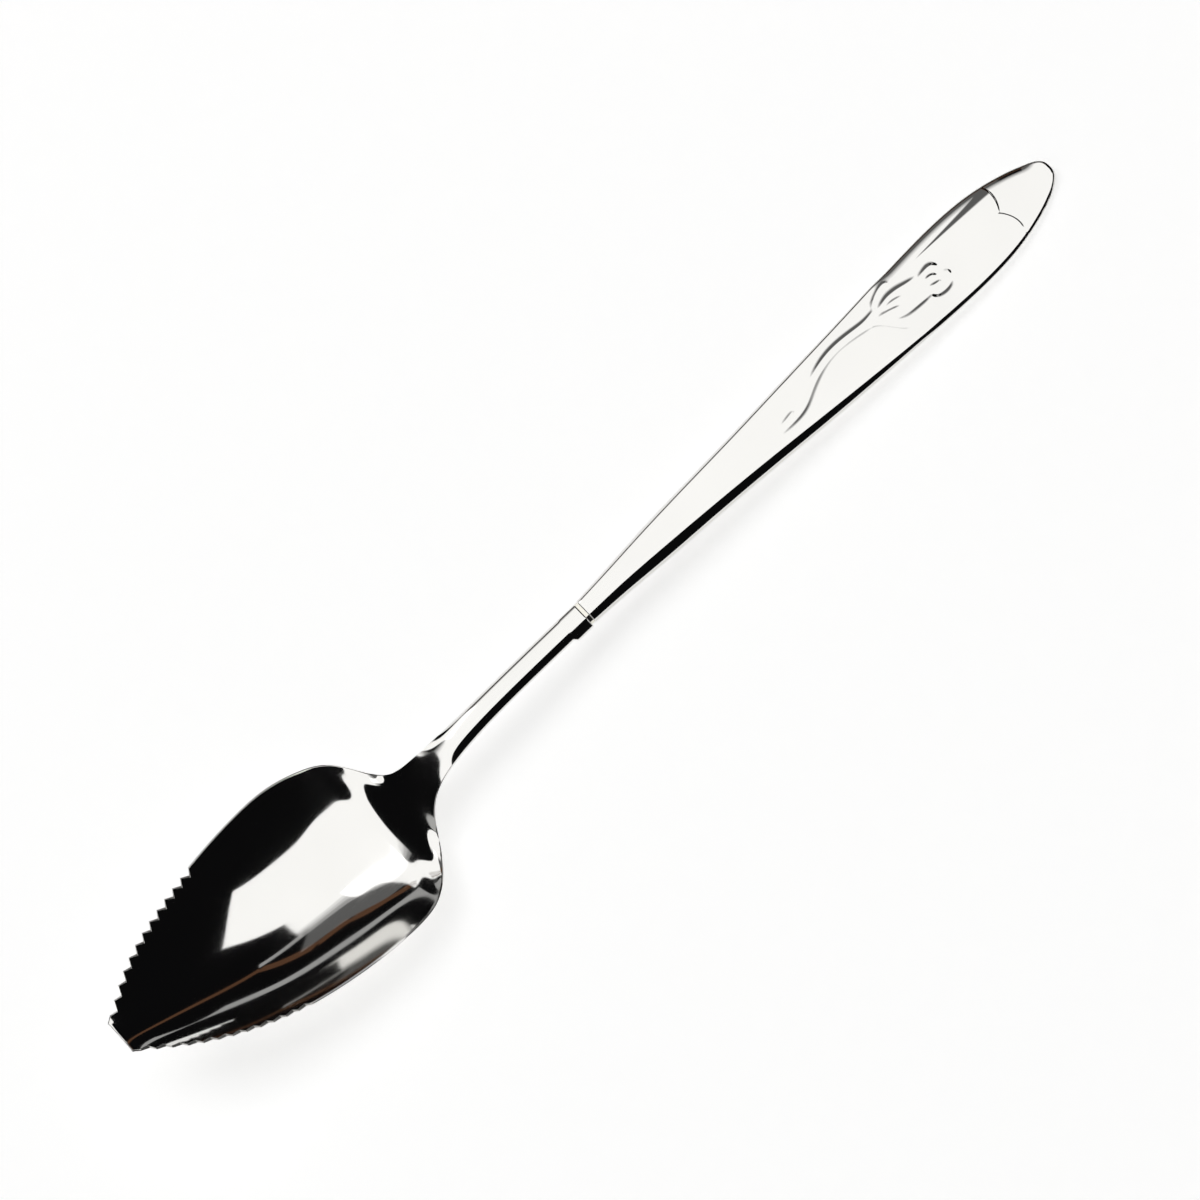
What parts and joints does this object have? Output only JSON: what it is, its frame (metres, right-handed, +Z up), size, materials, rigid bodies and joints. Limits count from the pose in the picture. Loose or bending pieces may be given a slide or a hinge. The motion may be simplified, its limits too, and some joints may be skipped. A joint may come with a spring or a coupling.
{
  "type": "grapefruit spoon",
  "caption": "Polished steel grapefruit spoon: pointed oval bowl with saw teeth along the tip edges, slim neck with a brazed seam, flat flared handle with a rosebud in relief.",
  "frame": {"origin": "middle of the bounding box, on the table that the spoon lies on", "axes": "+X from the bowl tip to the handle end, +Y across, +Z up, with the hollow of the bowl facing up"},
  "size_m": [0.164, 0.032, 0.0136],
  "materials": {
    "polished_steel": "polished",
    "pin_steel": "satin",
    "silver_braze": "satin"
  },
  "bodies": {
    "root": {"bowl_and_neck": "polished_steel", "handle": "polished_steel", "joint_pin": "pin_steel", "braze_ring": "silver_braze"}
  },
  "joints": []
}
